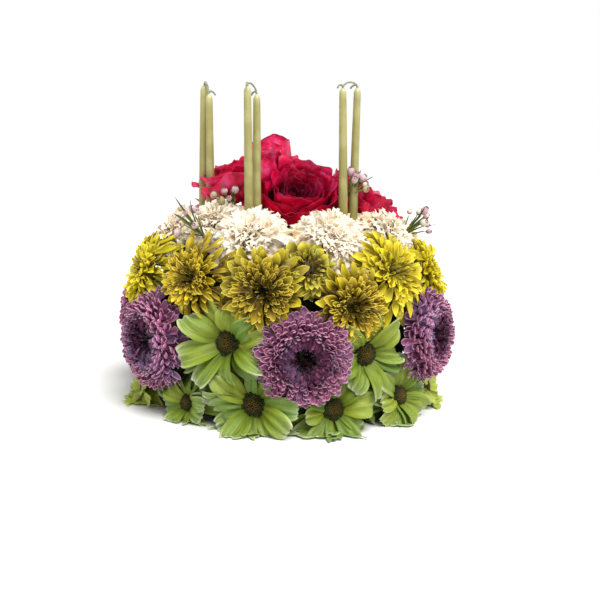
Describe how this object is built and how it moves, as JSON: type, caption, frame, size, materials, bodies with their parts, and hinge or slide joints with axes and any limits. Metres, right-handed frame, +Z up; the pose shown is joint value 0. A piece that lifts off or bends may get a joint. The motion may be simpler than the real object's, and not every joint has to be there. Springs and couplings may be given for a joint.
{
  "type": "floral birthday cake with candles",
  "caption": "Round arrangement of fresh flowers shaped like a layer cake, in rows of green, purple, yellow, cream and red, with pairs of slim dipped candles on top.",
  "frame": {"origin": "the middle of the flat foot, on the surface that the cake stands on", "axes": "+Z up, the front faces -Y, +X to the right seen from the front"},
  "size_m": [0.2685, 0.2678, 0.2415],
  "materials": {
    "foam": "wet open-cell floral foam with leaves over it",
    "purple_petal": "soft matt petal, dark at the eye and pale at the tips",
    "green_petal": "soft ribbed petal, deeper green at the base, olive button",
    "yellow_petal": "soft matt petal, brown at the eye and lemon at the edges",
    "cream_petal": "crimped matt petal, peach in the folds",
    "red_petal": "velvety petal, darker in the heart",
    "bud": "small round buds on thin green stalks",
    "wax": "satin dipped wax with a cotton wick"
  },
  "bodies": {
    "root": {"foam_core": "foam", "purple_mum_1": "purple_petal", "purple_mum_2": "purple_petal", "purple_mum_3": "purple_petal", "purple_mum_4": "purple_petal", "purple_mum_5": "purple_petal", "purple_mum_6": "purple_petal", "purple_mum_7": "purple_petal", "side_daisy_1": "green_petal", "side_daisy_2": "green_petal", "side_daisy_3": "green_petal", "side_daisy_4": "green_petal", "side_daisy_5": "green_petal", "side_daisy_6": "green_petal", "side_daisy_7": "green_petal", "skirt_daisy_1": "green_petal", "skirt_daisy_2": "green_petal", "skirt_daisy_3": "green_petal", "skirt_daisy_4": "green_petal", "skirt_daisy_5": "green_petal", "skirt_daisy_6": "green_petal", "skirt_daisy_7": "green_petal", "skirt_daisy_8": "green_petal", "skirt_daisy_9": "green_petal", "skirt_daisy_10": "green_petal", "skirt_daisy_11": "green_petal", "rose_5": "green_petal", "yellow_mum_1": "yellow_petal", "yellow_mum_2": "yellow_petal", "yellow_mum_3": "yellow_petal", "yellow_mum_4": "yellow_petal", "yellow_mum_5": "yellow_petal", "yellow_mum_6": "yellow_petal", "yellow_mum_7": "yellow_petal", "yellow_mum_8": "yellow_petal", "yellow_mum_9": "yellow_petal", "yellow_mum_10": "yellow_petal", "yellow_mum_11": "yellow_petal", "yellow_mum_12": "yellow_petal", "yellow_mum_13": "yellow_petal", "carnation_1": "cream_petal", "carnation_2": "cream_petal", "carnation_3": "cream_petal", "carnation_4": "cream_petal", "carnation_5": "cream_petal", "carnation_6": "cream_petal", "carnation_7": "cream_petal", "carnation_8": "cream_petal", "carnation_9": "cream_petal", "rose_1": "red_petal", "rose_2": "red_petal", "rose_3": "red_petal", "rose_4": "red_petal", "bud_sprig_1": "bud", "bud_sprig_2": "bud", "bud_sprig_3": "bud", "bud_sprig_4": "bud", "taper_pair_1": "wax", "taper_pair_2": "wax", "taper_pair_3": "wax"}
  },
  "joints": []
}
